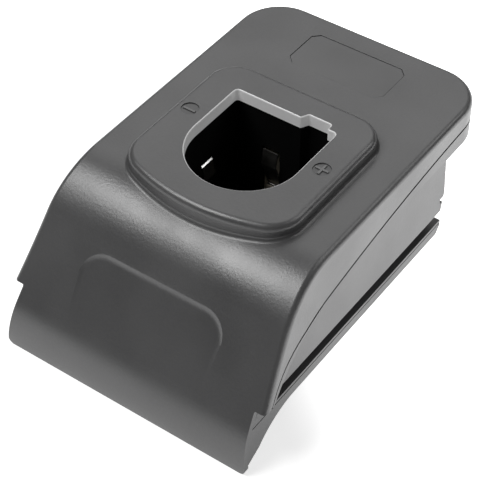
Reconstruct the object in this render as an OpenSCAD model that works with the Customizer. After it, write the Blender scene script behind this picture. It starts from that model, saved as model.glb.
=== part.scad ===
// Slide-on charging cradle of a power tool battery charger.
// A stalk battery drops into the keyed socket on top; the grooves in the two sides
// run on the rails of the charger base, and the apron hangs over the base's front.
// Front is -Y, up is +Z. The origin lies under the middle of the footprint, at the
// level of the apron's tip, which is the lowest point of the part.

/* [Housing] */
// Width across the flat top
top_w = 90; // [86:1:98]
// Overall length, rear wall to the most forward point of the apron
body_l = 145; // [142:1:152]
// Height of the flat top above the tip of the apron
top_h = 55.5; // [53:0.5:60]
// Thickness of the moulded walls
wall_t = 2; // [1.6:0.1:2.4]
// Corner radius of the rear corners, seen from above
rear_r = 16; // [12:1:20]
// Rounding of the upper edges
edge_r = 2.2; // [1.5:0.1:2.6]
// Gap between the two halves of the housing along the parting line
part_gap = 0.3; // [0.2:0.05:0.5]

/* [Front slope] */
// Steepness of the front slope, in degrees below level
slope_a = 55; // [53:0.2:57]
// Radius of the bend between the top and the front slope
bend_r = 30; // [26:1:34]
// Radius of the long curve from the slope to the foot of the apron
lip_r = 26; // [25:1:28]
// Height of the most forward point of the apron above its tip
curl_h = 2.1; // [2:0.1:2.4]
// How much each side flares out from the bend to the notch
flare = 4.9; // [3:0.1:6]
// Depth of the side notches' upper edge below the flat top
notch_drop = 33.9; // [33:0.1:35]
// Half width of the apron just under the notches
apron_half = 45.4; // [44.5:0.1:45.8]
// Sideways lean of the apron's ends, in degrees
apron_lean = 6; // [5:0.5:7]
// Radius of the rounded corners at the apron's tip
tip_corner_r = 2.2; // [1:0.1:3]
// Sideways lean of the lower walls, in degrees
side_lean = 2.6; // [1.5:0.1:3]
// Depth of the scoop in the slope at its upper edge
scoop_depth = 0.9; // [0.5:0.1:1.2]
// Width of the scoop
scoop_w = 55; // [45:1:60]
// Length of the scoop down the slope
scoop_l = 25; // [20:1:28]

/* [Platform] */
// Height of the raised platform above the flat top
plat_h = 5; // [4:0.25:6]
// Width of the platform at its wall
plat_w = 64; // [60:1:68]
// Distance from the rear wall of the housing to the rear of the platform
plat_back = 43; // [41:0.5:45]
// Distance from the rear wall of the housing to the front of the platform
plat_front = 108.5; // [106:0.5:109]
// Rounding of the platform's rim
rim_r = 2.5; // [1.5:0.1:3]
// Fillet at the foot of the platform
foot_r = 2.2; // [1:0.1:2.6]

/* [Battery socket] */
// Width of the socket
socket_w = 39; // [37:0.5:41]
// Distance from the rear wall of the housing to the flat side of the socket
socket_back = 55.2; // [54:0.2:57]
// Length of the socket from its flat side to the crown of its round side
socket_l = 42; // [40:0.5:43]
// Depth of the socket below the platform's face
socket_d = 43; // [40:0.5:44]
// Height of the lip around the mouth of the socket
lip_h = 4.5; // [4:0.1:5]
// Step back from the lip to the well below it
well_step = 0.5; // [0.3:0.05:0.8]
// Wall thickness of the well
well_t = 1.8; // [1.4:0.1:2]
// Width of the keyway in the flat side of the socket
key_w = 8.6; // [7:0.2:9]
// Depth of the keyway
key_d = 2.7; // [2:0.1:3]
// Distance of the keyway's middle from the socket's middle
key_x = 11.5; // [10:0.1:12]

/* [Label place] */
// Width of the label place
label_w = 37.4; // [30:0.2:44]
// Length of the label place
label_l = 18.4; // [12:0.2:20]
// Distance from the rear wall to the label place
label_back = 9.5; // [8:0.5:12]
// Depth of the label place
label_d = 0.5; // [0.4:0.1:0.8]

/* [Lower housing] */
// Depth of the rear overhang's underside below the flat top
shelf_drop = 13.9; // [13:0.1:15]
// Length of the rear overhang
shelf_l = 26; // [24:0.5:27]
// Set-back of the lower walls from the overhang, each side
wall_step = 0.4; // [0.2:0.1:0.8]
// Depth of the upper face of the side grooves below the flat top
groove_drop = 35.3; // [34.5:0.1:36]
// Height of the side grooves
groove_h = 4.2; // [3.6:0.1:4.6]
// Depth of the side grooves
groove_d = 4; // [3:0.25:4.5]
// Depth of the base below the flat top
base_drop = 44.2; // [43.8:0.1:45]

/* [Contacts] */
// Width of a contact leaf
leaf_w = 5.8; // [5:0.2:6.4]
// Thickness of a contact leaf
leaf_t = 0.5; // [0.4:0.05:0.6]
// Radius of the rolled root of a contact leaf
roll_r = 0.8; // [0.7:0.05:0.9]
// Radial play of the rolled root in its holder
roll_play = 0.05; // [0.03:0.01:0.08]
// Depth of a leaf's upper edge below the flat top
leaf_drop = 15.8; // [15:0.1:17]
// Distance from the rear wall to the middle of the side contacts
contact_back = 71.8; // [70:0.2:74]

/* [Electronics] */
// Width of the circuit board
board_w = 54; // [50:1:58]
// Length of the circuit board
board_l = 15.5; // [14.5:0.5:16]
// Thickness of the circuit board
board_t = 1.6; // [1:0.2:2]
// Depth of the board's underside below the flat top
board_drop = 30; // [28:0.5:31]
// Diameter of the insulated leads
lead_d = 1.6; // [1.2:0.1:2]

/* [Fasteners] */
// Radius of the housing screws' thread
screw_r = 1.5; // [1.3:0.1:1.6]
// Radius of the posts that take the housing screws
post_r = 3.5; // [3:0.1:4]

/* [Hidden] */
$fn = 64;

big = 300;
hair = 0.01;

// ---- places shared by several pieces ----
rear_y = body_l / 2;
front_y = -body_l / 2;
half_w = top_w / 2;
// A place measured forward from the rear wall, and one measured down from the top
function from_rear(d) = rear_y - d;
function below_top(d) = top_h - d;

// ---- outer side profile, in the plane of Y and Z ----
// The lip's arc, the slope's line and the bend's arc all meet tangentially.
normal = [-sin(slope_a), cos(slope_a)];
down_slope = [-cos(slope_a), -sin(slope_a)];
lip_c = [front_y + lip_r, curl_h];
slope_foot = lip_c + lip_r * normal;
bend_z = top_h - bend_r;
bend_y = slope_foot[0] + (bend_r + (bend_z - slope_foot[1]) * normal[1]) / -normal[0];
bend_c = [bend_y, bend_z];
slope_head = bend_c + bend_r * normal;
slope_l = norm(slope_foot - slope_head);
curl_a = asin(curl_h / lip_r);

// A station is [y, z, fall angle of the surface, depth of the section behind it].
skin_depth = 24;
lip_depth = 12;
bend_steps = 12;
slope_steps = 6;
lip_steps = 7;
path = concat(
    [for (i = [0:bend_steps]) let (a = slope_a * i / bend_steps)
        [bend_c[0] - bend_r * sin(a), bend_c[1] + bend_r * cos(a), a, skin_depth]],
    [for (i = [1:slope_steps]) let (f = i / slope_steps)
        [slope_head[0] + f * slope_l * down_slope[0], slope_head[1] + f * slope_l * down_slope[1],
            slope_a, skin_depth + f * (lip_depth - skin_depth)]],
    [for (i = [1:lip_steps]) let (a = slope_a + (90 + curl_a - slope_a) * i / lip_steps)
        [lip_c[0] - lip_r * sin(a), lip_c[1] + lip_r * cos(a), a, lip_depth]]
);
past_tip = let (a = 90 + curl_a + 6)
    [lip_c[0] - lip_r * sin(a), lip_c[1] + lip_r * cos(a), a, lip_depth];

// Half width at a place along Y: straight at the back, flaring towards the notch.
notch_z = below_top(notch_drop);
notch_y = slope_foot[0] + (notch_z - slope_foot[1]) / tan(slope_a);
function half_at(y) = half_w + flare * pow(max(0, bend_y - y) / (bend_y - notch_y), 2);

// Height of the outer surface over a place on the flat top or the bend
function surface_z(y) = y >= bend_y ? top_h : bend_z + sqrt(pow(bend_r, 2) - pow(bend_y - y, 2));

// ---- lofted skin ----
// Joins closed rings, each with the same count of points, into one solid.
module loft(rings) {
    n = len(rings);
    m = len(rings[0]);
    polyhedron(
        points = [for (r = rings) each r],
        faces = concat(
            [[for (j = [0:m - 1]) j]],
            [for (i = [0:n - 2], j = [0:m - 1]) let (k = (j + 1) % m)
                [i * m + j, (i + 1) * m + j, (i + 1) * m + k]],
            [for (i = [0:n - 2], j = [0:m - 1]) let (k = (j + 1) % m)
                [i * m + j, (i + 1) * m + k, i * m + k]],
            [[for (j = [m - 1:-1:0]) (n - 1) * m + j]]
        )
    );
}

// One cross-section of the housing: side wall, rounded edge, top, rounded edge, side wall.
// half holds the half width at each step of the rounding, drop how far each step lies
// below the surface.
function section(y, z, a, depth, half, drop) =
    let (
        n = len(half),
        down = [sin(a), -cos(a)],
        right = concat([[half[0], depth]], [for (k = [0:n - 1]) [half[k], drop[k]]]),
        left = [for (k = [n:-1:0]) [-right[k][0], right[k][1]]]
    )
    [for (q = concat(right, left)) [q[0], y + q[1] * down[0], z + q[1] * down[1]]];

// Sections of the whole body, inset from the outer skin by t.
function body_rings(t, steps) =
    let (
        r = max(0.6, edge_r - t),
        corner = rear_r - t,
        w = half_w - t,
        e = [for (k = [0:steps]) r * (1 - cos(90 * k / steps))],
        drop = [for (k = [0:steps]) r * (1 - sin(90 * k / steps))],
        a0 = acos(1 - r / corner)
    )
    concat(
        // the rounding of the upper rear edge
        [for (i = [1:4]) let (
            f = 22.5 * i,
            part = [for (k = [0:steps]) f * k / steps],
            d = r * (1 - cos(f)))
            section(rear_y - t - d, top_h - t, 0, skin_depth + r,
                [for (p = part) w - corner
                    + sqrt(max(0, pow(corner - r * (1 - cos(p)), 2) - pow(corner - d, 2)))],
                [for (p = part) r * (1 - sin(p))])],
        // the round rear corners
        [for (i = [1:6]) let (d = corner * (1 - cos(a0 + (90 - a0) * i / 6)))
            section(rear_y - t - d, top_h - t, 0, skin_depth + r,
                [for (k = e) w - corner + sqrt(max(0, pow(corner - k, 2) - pow(corner - d, 2)))],
                drop)],
        // the bend, the slope and the apron; a hollow runs on past the tip
        [for (s = t > 0 ? concat(path, [past_tip]) : path) let (y = s[0] + t * sin(s[2]), z = s[1] - t * cos(s[2]))
            section(y, z, s[2], s[3] + (t > 0 ? 1 : 0), [for (k = e) half_at(s[0]) - t - k], drop)]
    );

// ---- parting line, in the plane of Y and Z ----
// A long shallow fall from the rear, then an arc that ends just below the notch's edge.
part_drop = 7;
part_fall = 0.028;
part_bow = 0.001;
part_arc_d = 102;
part_arc_r = 75;
part_arc_a = atan(part_fall + 2 * part_bow * part_arc_d);
part_over = 0.15;
function part_depth(d) = part_drop + part_fall * d + part_bow * pow(d, 2);
part_end_a = acos(cos(part_arc_a) - (notch_drop + part_over - part_depth(part_arc_d)) / part_arc_r);
part_line = concat(
    [for (i = [-2:10]) let (d = i * part_arc_d / 10) [from_rear(d), below_top(part_depth(max(0, d)))]],
    [for (i = [1:9]) let (a = part_arc_a + (part_end_a - part_arc_a) * i / 9)
        [from_rear(part_arc_d + part_arc_r * (sin(a) - sin(part_arc_a))),
            below_top(part_depth(part_arc_d) + part_arc_r * (cos(part_arc_a) - cos(a)))]]
);
part_foot = part_line[len(part_line) - 1];

// Extrudes a side view across the whole width
module across(points, half = big / 2) {
    translate([-half, 0, 0])
        rotate([90, 0, 90])
            linear_extrude(2 * half)
                polygon(points);
}

// Everything above the parting line, and the apron in front of it
module cover_zone() {
    across(concat(part_line, [
        [part_foot[0], -10],
        [-big / 2, -10],
        [-big / 2, big / 2],
        [part_line[0][0], big / 2]
    ]));
}

// The outer profile, moved inwards by t, from the flat top to the apron's tip
function inner_profile(t) = concat(
    [[rear_y, top_h - t]],
    [for (s = path) [s[0] + t * sin(s[2]), s[1] - t * cos(s[2])]]
);

// ---- platform ----
plat_half = plat_w / 2;
plat_rear_r = 10.5;
plat_corner_r = 12;
plat_front_r = 70;
plat_front_c = from_rear(plat_front) + plat_front_r;
plat_corner_x = plat_half - plat_corner_r;
plat_corner_c = plat_front_c - sqrt(pow(plat_front_r - plat_corner_r, 2) - pow(plat_corner_x, 2));
plat_corner_a = atan2(plat_front_c - plat_corner_c, plat_corner_x);
plat_rear_c = from_rear(plat_back) - plat_rear_r;
function turn(c, r, a0, a1, n, e) =
    [for (i = [0:n]) let (a = a0 + (a1 - a0) * i / n) [c[0] + (r + e) * cos(a), c[1] + (r + e) * sin(a)]];
// Plan of the platform, moved outwards by e
function plat_plan(e) = concat(
    turn([-plat_half + plat_rear_r, plat_rear_c], plat_rear_r, 90, 180, 6, e),
    turn([-plat_corner_x, plat_corner_c], plat_corner_r, -180, plat_corner_a - 180, 6, e),
    turn([0, plat_front_c], plat_front_r, plat_corner_a - 176, -plat_corner_a - 4, 8, e),
    turn([plat_corner_x, plat_corner_c], plat_corner_r, -plat_corner_a, 0, 6, e),
    turn([plat_half - plat_rear_r, plat_rear_c], plat_rear_r, 0, 90, 6, e)
);
foot_steps = 4;
rim_steps = 4;
// Rings of the platform: a root inside the body, a foot that follows the surface, a wall
// and a rim
plat_rings = concat(
    [[for (q = plat_plan(foot_r)) [q[0], q[1], top_h - 8]]],
    [for (i = [0:foot_steps]) let (a = 90 * i / foot_steps)
        [for (q = plat_plan(foot_r * (1 - sin(a)))) [q[0], q[1], surface_z(q[1]) + foot_r * (1 - cos(a))]]],
    [for (i = [0:rim_steps]) let (a = 90 * i / rim_steps)
        [for (q = plat_plan(-rim_r * (1 - cos(a)))) [q[0], q[1], top_h + plat_h - rim_r * (1 - sin(a))]]]
);

// ---- battery socket ----
socket_half = socket_w / 2;
socket_rear = from_rear(socket_back);
socket_arc = from_rear(socket_back + socket_l - socket_half);
face_z = top_h + plat_h;
lip_z = face_z - lip_h;
socket_floor = face_z - socket_d;
// Plan of the socket with its keyway, grown by g
module socket_plan(g) {
    union() {
        translate([0, socket_arc]) circle(r = socket_half + g);
        translate([-socket_half - g, socket_arc])
            square([socket_w + 2 * g, socket_rear + g - socket_arc]);
        translate([key_x, socket_rear]) polygon([
            [-key_w / 2 - 1.9 - g, -1], [-key_w / 2 - g, key_d + g],
            [key_w / 2 + g, key_d + g], [key_w / 2 + g, -1]
        ]);
    }
}

// ---- screw places, [x, y], shared by the posts, bosses and screws ----
post_x = 34;
post_places = [for (x = [-post_x, post_x], d = [36, 101]) [x, from_rear(d)]];
post_foot = below_top(24);
post_gap = 0.2;
screw_l = 14;
screw_head_r = 2.8;
screw_head_h = 2;
screw_seat = post_foot - 6;
pilot_r = screw_r - 0.25;
well_x = 25.5;
well_places = [for (x = [-well_x, well_x], d = [52, 98]) [x, from_rear(d)]];
well_screw_r = 1.1;
well_screw_l = 6;
flange_t = 2;
flange_top = top_h - wall_t - 0.3;
board_x = 23;
board_back = 30.7;
board_y = from_rear(board_back + board_l / 2);
board_places = [for (x = [-board_x, board_x]) [x, board_y]];
board_z = below_top(board_drop);
board_screw_r = 1.1;

// ---- lower housing ----
shelf_z = below_top(shelf_drop);
tub_y = from_rear(shelf_l);
groove_top = below_top(groove_drop);
groove_foot = groove_top - groove_h;
base_z = below_top(base_drop);
floor_t = wall_t;
// Half width of the lower wall at a height: it leans outwards going down
wall_half = half_w - wall_step;
function wall_at(z) = wall_half + (shelf_z - z) * tan(side_lean);
rail_step = 0.4;

// ---- top cover ----
module cover_shell() {
    difference() {
        union() {
            intersection() {
                loft(body_rings(0, 5));
                cover_zone();
            }
            loft(plat_rings);
        }
        loft(body_rings(wall_t, 2));
        platform_core();
    }
}

// The hollow under the platform, which keeps its walls even
module platform_core() {
    translate([0, 0, top_h - wall_t - 2])
        linear_extrude(plat_h + 2)
            polygon(plat_plan(-wall_t - rim_r / 2));
}

module socket_lip() {
    translate([0, 0, lip_z])
        linear_extrude(lip_h - wall_t + hair)
            difference() {
                socket_plan(wall_t);
                socket_plan(0);
            }
}

module cover_post(p) {
    translate([p[0], p[1], post_foot + post_gap])
        cylinder(r = post_r, h = surface_z(p[1] - post_r) - wall_t / 2 - post_foot - post_gap);
}

module well_boss(p) {
    translate([p[0], p[1], flange_top])
        cylinder(r = 2.6, h = face_z - wall_t / 2 - flange_top);
}

// What is rounded off the apron's edge where it ends at the tip
module tip_corner() {
    over = tip_corner_r + 2;
    translate([apron_half + (notch_z - tip_corner_r) * tan(apron_lean), tip_corner_r - notch_z])
        rotate(apron_lean)
            translate([-tip_corner_r, 0])
                difference() {
                    translate([0, -over])
                        square(over);
                    circle(r = tip_corner_r);
                }
}

// Cuts off the skirt below the notches; what stays between the cuts is the apron.
module notch_cut() {
    for (s = [0, 1])
        mirror([s, 0, 0])
            translate([0, big / 2, notch_z])
                rotate([90, 0, 0])
                    linear_extrude(big) {
                        polygon([[apron_half, 0], [apron_half + 60 * tan(apron_lean), -60], [80, -60], [80, 0]]);
                        tip_corner();
                    }
}

// A shallow scoop that is deepest at its upper edge and fades out down the slope
module scoop_cut() {
    corner = 9;
    top = 4;
    translate([0, slope_head[0], slope_head[1]])
        rotate([slope_a, 0, 0])
            translate([0, -top, -scoop_depth])
                rotate([-atan(scoop_depth / scoop_l), 0, 0])
                    translate([0, -scoop_l, 0])
                        linear_extrude(6)
                            union() {
                                for (s = [-1, 1])
                                    translate([s * (scoop_w / 2 - corner), scoop_l - corner]) circle(r = corner);
                                translate([-scoop_w / 2, -4]) square([scoop_w, scoop_l + 4 - corner]);
                                translate([corner - scoop_w / 2, 0]) square([scoop_w - 2 * corner, scoop_l]);
                            }
}

module label_plan(g) {
    cut = 2.5;
    w = label_w / 2 + g;
    y0 = from_rear(label_back) + g;
    y1 = from_rear(label_back + label_l) - g;
    polygon([
        [-w + cut, y0], [w - cut, y0], [w, y0 - cut], [w, y1 + cut],
        [w - cut, y1], [-w + cut, y1], [-w, y1 + cut], [-w, y0 - cut]
    ]);
}

module top_cover() {
    color([0.27, 0.27, 0.28])
        difference() {
            union() {
                cover_shell();
                socket_lip();
                for (p = post_places) cover_post(p);
                for (p = well_places) well_boss(p);
            }
            notch_cut();
            scoop_cut();
            translate([0, 0, lip_z - 10]) linear_extrude(30) socket_plan(0);
            translate([0, 0, top_h - label_d]) linear_extrude(5) label_plan(0);
            for (p = post_places)
                translate([p[0], p[1], post_foot]) cylinder(r = pilot_r, h = screw_l - 4);
            for (p = well_places)
                translate([p[0], p[1], flange_top - 1]) cylinder(r = well_screw_r - 0.2, h = well_screw_l);
        }
}

module label_plate() {
    color([0.3, 0.3, 0.31])
        translate([0, 0, top_h - label_d])
            linear_extrude(label_d - 0.2)
                label_plan(-0.15);
}

// ---- battery well: a black liner that hangs from the cover by its flange ----
leaf_y = from_rear(contact_back);
leaf_top = below_top(leaf_drop);
root_z = below_top(34);
crown_z = below_top(21.5);
window_w = leaf_w + 1.4;
inner_half = socket_half + well_step;
outer_half = inner_half + well_t;
well_rear = socket_rear + well_step + well_t;

// Places a piece made for the -X side at the side, or at the rear, of the well
module at_contact(name) {
    if (name == "negative") translate([0, leaf_y, 0]) children();
    if (name == "positive") mirror([1, 0, 0]) translate([0, leaf_y, 0]) children();
    if (name == "sense")
        translate([sense_x, socket_rear - socket_half, 0]) rotate([0, 0, -90]) children();
}
sense_x = -6;
contact_names = ["negative", "positive", "sense"];

module contact_window() {
    translate([-outer_half - 1, -window_w / 2, root_z - 2])
        cube([well_t + 2, window_w, leaf_top + 3 - root_z]);
}

module battery_well() {
    flange_half = well_x + 4.5;
    color([0.05, 0.05, 0.05])
        difference() {
            union() {
                translate([0, 0, socket_floor - well_t])
                    linear_extrude(lip_z - 0.2 - socket_floor + well_t)
                        socket_plan(well_step + well_t);
                translate([-flange_half, from_rear(101), flange_top - flange_t])
                    cube([2 * flange_half, 53, flange_t]);
            }
            translate([0, 0, socket_floor]) linear_extrude(big) socket_plan(well_step);
            for (name = contact_names) at_contact(name) contact_window();
            for (p = well_places)
                translate([p[0], p[1], flange_top - 5]) cylinder(r = well_screw_r + 0.2, h = 10);
        }
}

// ---- contact leaves, made for the -X side with the middle of the leaf at Y = 0 ----
root_x = -outer_half - 1.4;
crown_x = -socket_half + 0.9;
tip_x = -socket_half - 0.1;
module leaf_shape() {
    // the side view of the strip, from its root up over the crown to its upper edge
    inner = [[root_x + 0.2, root_z + roll_r - 0.3], [crown_x, crown_z], [tip_x, leaf_top]];
    translate([0, leaf_w / 2, 0])
        rotate([90, 0, 0])
            linear_extrude(leaf_w)
                polygon(concat(inner, [for (i = [2:-1:0]) inner[i] - [leaf_t, 0]]));
    translate([root_x, leaf_w / 2, root_z])
        rotate([90, 0, 0])
            cylinder(r = roll_r, h = leaf_w);
}

module contact_leaf(name) {
    color([0.82, 0.8, 0.76]) at_contact(name) leaf_shape();
}

// ---- leaf holders: each grips the rolled root and is set in the outer face of the well ----
holder_d = 5;
holder_w = leaf_w + 4;
holder_top = leaf_top + 3;
holder_foot = root_z - 3.5;
tab_w = 4;
tab_t = 0.6;
tab_out = 3;
tab_z = root_z - roll_r - roll_play;
module holder_shape() {
    face = -outer_half - 0.05;
    tunnel = leaf_w + 0.6;
    difference() {
        translate([face - holder_d, -holder_w / 2, holder_foot])
            cube([holder_d, holder_w, holder_top - holder_foot]);
        // the round seat of the root, open towards the well for the leaf
        translate([root_x, tunnel / 2, root_z])
            rotate([90, 0, 0])
                cylinder(r = roll_r + roll_play, h = tunnel);
        translate([0, tunnel / 2, 0])
            rotate([90, 0, 0])
                linear_extrude(tunnel)
                    polygon([
                        [root_x - 0.5, root_z + 0.3], [root_x - 1.9, crown_z], [root_x - 1.9, leaf_top + 1],
                        [face + 1, leaf_top + 1], [face + 1, root_z + 0.3]
                    ]);
        // slot of the contact tab, under the root
        translate([face - holder_d - 1, -tab_w / 2, tab_z - tab_t])
            cube([holder_d + 1 - 0.6, tab_w, tab_t]);
        // opens the seat over the tab, so that the root turns on the tab's end
        translate([root_x - roll_r - 0.2, -tab_w / 2, tab_z - tab_t])
            cube([face - 0.6 - root_x + roll_r + 0.2, tab_w, tab_t + roll_r]);
    }
}
module contact_holder(name) {
    color([0.75, 0.72, 0.64]) at_contact(name) holder_shape();
}

module tab_shape() {
    translate([-outer_half - 0.05 - holder_d - tab_out, -tab_w / 2, tab_z - tab_t])
        cube([holder_d + tab_out - 0.8, tab_w, tab_t]);
}

module contact_tabs() {
    color([0.8, 0.68, 0.35])
        for (name = contact_names) at_contact(name) tab_shape();
}

// ---- lower housing ----
// Front view of the outer half wall, from the shelf down to the base
function tub_outer(s) = [
    [0, shelf_z + 1], [s * wall_half, shelf_z + 1], [s * wall_half, shelf_z],
    [s * wall_at(groove_foot - 1), groove_foot - 1],
    [s * (wall_at(groove_foot - 1) - rail_step), groove_foot - 1],
    [s * (wall_at(groove_foot - 1) - rail_step), groove_foot - 1.4],
    [s * wall_at(groove_foot - 1.4), groove_foot - 1.4],
    [s * wall_at(-10), -10], [0, -10]
];

// Side view of everything that the lower housing may fill
cheek_r = 30;
cheek_a = 41;
cheek_y = from_rear(116);
rail_back = 2;
rail_rise = 7;
front_gap = 0.3;
module lower_zone() {
    front = [for (q = inner_profile(wall_t + front_gap)) if (q[1] > 0.8 && q[0] < rear_y - 1) q];
    across(concat(
        [[rear_y + 5, shelf_z], [tub_y, shelf_z], [tub_y, groove_top + rail_rise], [tub_y - rail_back, groove_top],
            [tub_y - rail_back, base_z + 2.5], [tub_y - rail_back - 2.5, base_z], [cheek_y, base_z]],
        [for (i = [1:8]) let (a = cheek_a * i / 8)
            [cheek_y - cheek_r * sin(a), base_z - cheek_r * (1 - cos(a))]],
        [[front[len(front) - 1][0] + 0.6, 0.8]],
        [for (i = [len(front) - 1:-1:0]) front[i]],
        [[rear_y + 5, top_h - wall_t]]
    ));
}

// Everything below the parting line, less the joint's gap
module below_parting() {
    across(concat(
        [for (q = part_line) [q[0], q[1] - part_gap]],
        [[-big / 2, part_foot[1] - part_gap], [-big / 2, -big / 2], [part_line[0][0], -big / 2]]
    ));
}

// Plan of the upper band, which follows the top cover's outline, inset by t
module band_plan(t) {
    r = rear_r - t;
    w = half_w - t;
    union() {
        for (s = [-1, 1]) translate([s * (w - r), rear_y - t - r]) circle(r = r);
        translate([r - w, rear_y - t - 2 * r]) square([2 * (w - r), 2 * r]);
        translate([-w, -big / 2]) square([2 * w, rear_y - t - r + big / 2]);
    }
}

groove_l = 126;
module side_groove() {
    // its front end leans with the slope
    y1 = tub_y - rail_back - hair;
    y0 = from_rear(groove_l);
    rise = groove_h / tan(slope_a);
    translate([half_w + 5, 0, 0])
        mirror([1, 0, 0])
            rotate([90, 0, 90])
                linear_extrude(groove_d + 5)
                    polygon([
                        [y1 + 5, groove_foot], [y1 + 5, groove_top], [y0 + rise, groove_top], [y0, groove_foot]
                    ]);
}

// The hollow of the tub: open at the top, with room for the grooves' inner walls
module tub_hollow() {
    inner = half_w - wall_step - wall_t;
    shelf_in = half_w - groove_d - 2 * wall_t;
    floor_z = base_z + floor_t;
    step_z = groove_top + rail_rise;
    translate([0, tub_y - rail_back - wall_t, 0])
        rotate([90, 0, 0])
            linear_extrude(big)
                polygon([
                    [-shelf_in, floor_z], [shelf_in, floor_z], [shelf_in, groove_top + wall_t],
                    [inner, groove_top + wall_t], [inner, top_h], [-inner, top_h],
                    [-inner, groove_top + wall_t], [-shelf_in, groove_top + wall_t]
                ]);
    translate([-inner, tub_y - wall_t - 10, step_z]) cube([2 * inner, 10, top_h - step_z]);
}

// A boss that rises from the floor and holds the head of a housing screw
module tub_boss(p) {
    translate([p[0], p[1], base_z + hair])
        cylinder(r = post_r + 0.6, h = post_foot - base_z - hair);
}

block_w = 26;
block_l = 13;
block_back = 33;
block_z = base_z + 0.6;
module block_window(g) {
    translate([-block_w / 2 - g, from_rear(block_back + block_l) - g, 0])
        square([block_w + 2 * g, block_l + 2 * g]);
}

module board_post(p) {
    translate([p[0], p[1], base_z + hair])
        cylinder(r = 2.8, h = board_z - base_z - hair);
}

// Side view of the front wall and of what lies in front of the hollow
module front_block() {
    wall = inner_profile(wall_t + front_gap + wall_t);
    top = post_foot;
    line = [for (q = wall) if (q[1] > base_z - 3 && q[1] < top) q];
    across(concat(
        [[line[0][0], top]], line,
        [[-big / 2, line[len(line) - 1][1]], [-big / 2, top]]
    ));
}

module lower_housing() {
    color([0.3, 0.3, 0.31])
        difference() {
            intersection() {
                union() {
                    difference() {
                        union() {
                            // band under the parting line, with the rear overhang
                            translate([0, 0, shelf_z]) linear_extrude(top_h - shelf_z) band_plan(0);
                            for (s = [-1, 1])
                                translate([0, tub_y, 0]) rotate([90, 0, 0]) linear_extrude(big) polygon(tub_outer(s));
                        }
                        translate([0, 0, shelf_z + wall_t]) linear_extrude(big)
                            difference() {
                                band_plan(wall_t);
                                translate([-big / 2, tub_y - wall_t - big]) square([big, big]);
                            }
                        difference() {
                            tub_hollow();
                            front_block();
                        }
                    }
                    for (p = post_places) tub_boss(p);
                    for (p = board_places) board_post(p);
                }
                lower_zone();
                below_parting();
            }
            side_groove();
            mirror([1, 0, 0]) side_groove();
            // between the cheeks, under the floor
            translate([0, 0, base_z - 60])
                linear_extrude(60)
                    translate([-wall_at(base_z) + wall_t, -big / 2])
                        square([2 * (wall_at(base_z) - wall_t), big]);
            for (p = post_places) {
                translate([p[0], p[1], -1]) cylinder(r = screw_r + 0.2, h = post_foot + 2);
                translate([p[0], p[1], -1]) cylinder(r = screw_head_r + 0.3, h = screw_seat + 1);
            }
            for (p = board_places)
                translate([p[0], p[1], board_z - 5]) cylinder(r = board_screw_r - 0.2, h = 10);
            translate([0, 0, -1]) linear_extrude(base_z + floor_t + 2) block_window(0.1);
            catch_notches();
        }
}

// Small notches in the lower rear corners, which the base's catch engages
module catch_notches() {
    for (s = [0, 1])
        mirror([s, 0, 0])
            translate([wall_half - 1.5, tub_y - 2.6, groove_top + 3.4])
                cube([10, 10, 2]);
}

// ---- circuit board and what stands on it ----
board_top = board_z + board_t;
module circuit_board() {
    color([0.12, 0.32, 0.18])
        difference() {
            translate([-board_w / 2, board_y - board_l / 2, board_z])
                cube([board_w, board_l, board_t]);
            for (p = board_places)
                translate([p[0], p[1], board_z - 1]) cylinder(r = board_screw_r + 0.2, h = board_t + 2);
            for (name = contact_names)
                translate([plate_x(name) - tail_w / 2, block_y - plate_t / 2, board_z - 1])
                    cube([tail_w, plate_t, board_t + 2]);
        }
}

// A round component that lies along X with a wire leg at each end
module axial(r, l, leg) {
    span = l + 4;
    rise = r + 0.3;
    translate([-l / 2, 0, rise]) rotate([0, 90, 0]) cylinder(r = r, h = l);
    for (s = [-1, 1]) {
        translate([s < 0 ? -span / 2 : l / 2 - 0.1, 0, rise])
            rotate([0, 90, 0]) cylinder(r = leg, h = (span - l) / 2 + 0.1);
        translate([s * (span / 2 - leg), 0, 0]) cylinder(r = leg, h = rise);
    }
}

fuse_place = [-14, board_y + 5];
diode_place = [4, board_y + 5.2];
resistor_place = [4, board_y + 1.8];
capacitor_place = [-16, board_y - 2.6];
header_place = [6.5, board_y - 5.2];

module fuse() {
    color([0.85, 0.85, 0.8])
        translate([fuse_place[0], fuse_place[1], board_top]) axial(1.6, 9, 0.35);
}

module diode() {
    color([0.1, 0.1, 0.1])
        translate([diode_place[0], diode_place[1], board_top]) axial(1.4, 5.4, 0.35);
}

module resistor() {
    color([0.76, 0.62, 0.42])
        translate([resistor_place[0], resistor_place[1], board_top]) axial(1.1, 6, 0.3);
}

module capacitor() {
    color([0.12, 0.14, 0.3])
        translate([capacitor_place[0], capacitor_place[1], board_top]) {
            cylinder(r = 3, h = 7.6);
            cylinder(r = 3.15, h = 0.8);
        }
}

header_w = 15;
header_l = 4;
header_h = 4;
module lead_header() {
    color([0.9, 0.9, 0.86])
        difference() {
            translate([header_place[0] - header_w / 2, header_place[1] - header_l / 2, board_top])
                cube([header_w, header_l, header_h]);
            for (x = hole_x)
                translate([x, header_place[1] - header_l, hole_z])
                    rotate([-90, 0, 0]) cylinder(r = lead_r + 0.05, h = header_l - 0.2);
        }
}

// ---- output terminals in the underside ----
plate_w = 4.4;
plate_l = 10;
plate_t = 0.6;
plate_pitch = 8;
tail_w = 2;
block_top = base_z + floor_t + 3.4;
block_y = from_rear(block_back + block_l / 2);
function plate_x(name) = name == "negative" ? -plate_pitch : name == "positive" ? plate_pitch : 0;

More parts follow.
